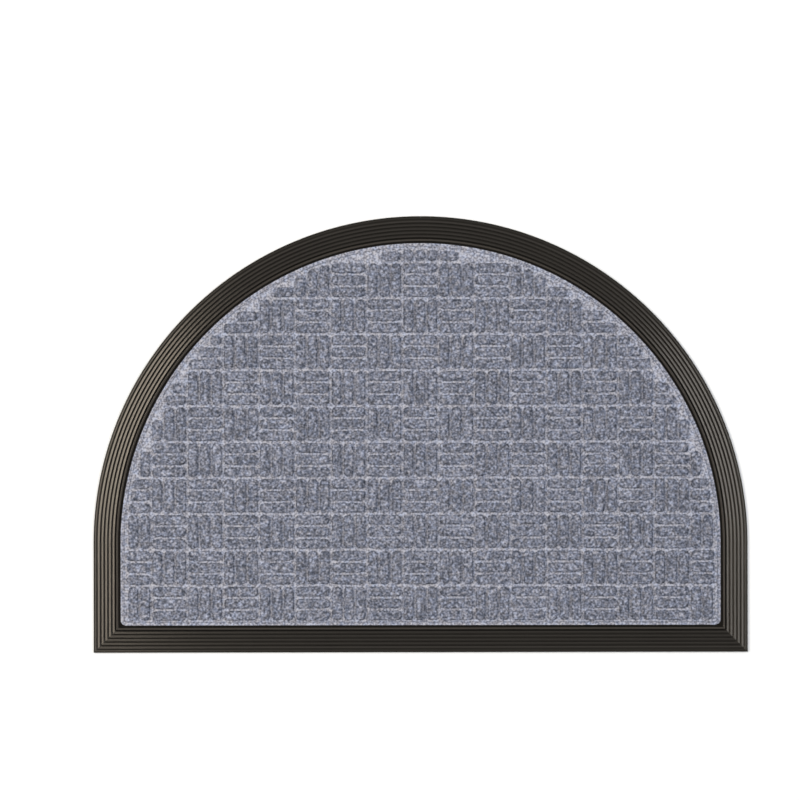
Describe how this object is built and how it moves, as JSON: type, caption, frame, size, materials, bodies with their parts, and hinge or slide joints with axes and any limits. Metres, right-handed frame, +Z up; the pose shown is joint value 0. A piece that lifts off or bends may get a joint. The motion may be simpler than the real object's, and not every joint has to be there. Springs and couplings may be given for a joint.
{
  "type": "half-round doormat",
  "caption": "Half-round entrance mat lying flat: a bevelled rubber border with concentric ribs round a felt carpet inlay embossed with a parquet of raised pads.",
  "frame": {"origin": "centre of the mat's box, on its underside", "axes": "+X along the straight edge, +Y from the straight edge towards the half-round edge, +Z up"},
  "size_m": [0.9, 0.6, 0.0076],
  "materials": {
    "rubber": "moulded black rubber with a soft sheen",
    "carpet": "heather blue-grey needle-punched felt, embossed"
  },
  "bodies": {
    "root": {"rubber_base": "rubber", "carpet_inlay": "carpet"}
  },
  "joints": []
}
